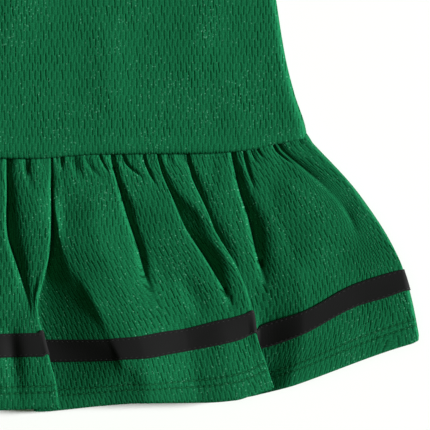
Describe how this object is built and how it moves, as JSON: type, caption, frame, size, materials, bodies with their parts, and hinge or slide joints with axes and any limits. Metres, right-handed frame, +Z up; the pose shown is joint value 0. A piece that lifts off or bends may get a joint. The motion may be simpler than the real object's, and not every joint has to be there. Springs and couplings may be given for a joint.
{
  "type": "baby jersey dress",
  "caption": "Sleeveless A-line baby dress in mesh jersey with a gathered ruffle skirt and a flat tape above its hem, laid flat with its front up.",
  "frame": {"origin": "middle of the lower face, on the surface that the dress lies on", "axes": "+Y towards the neck, +X across the dress to the right of someone looking at its front, +Z up away from the surface, front up"},
  "size_m": [0.3858, 0.4391, 0.014],
  "materials": {
    "jersey": "green polyester mesh jersey with a soft sheen",
    "tape": "flat black knitted tape",
    "binding": "green jersey binding"
  },
  "bodies": {
    "root": {"front_bodice": "jersey", "back_bodice": "jersey", "front_ruffle": "jersey", "back_ruffle": "jersey", "front_tape": "tape", "back_tape": "tape", "neck_binding": "binding", "left_armhole_binding": "binding", "right_armhole_binding": "binding"}
  },
  "joints": []
}
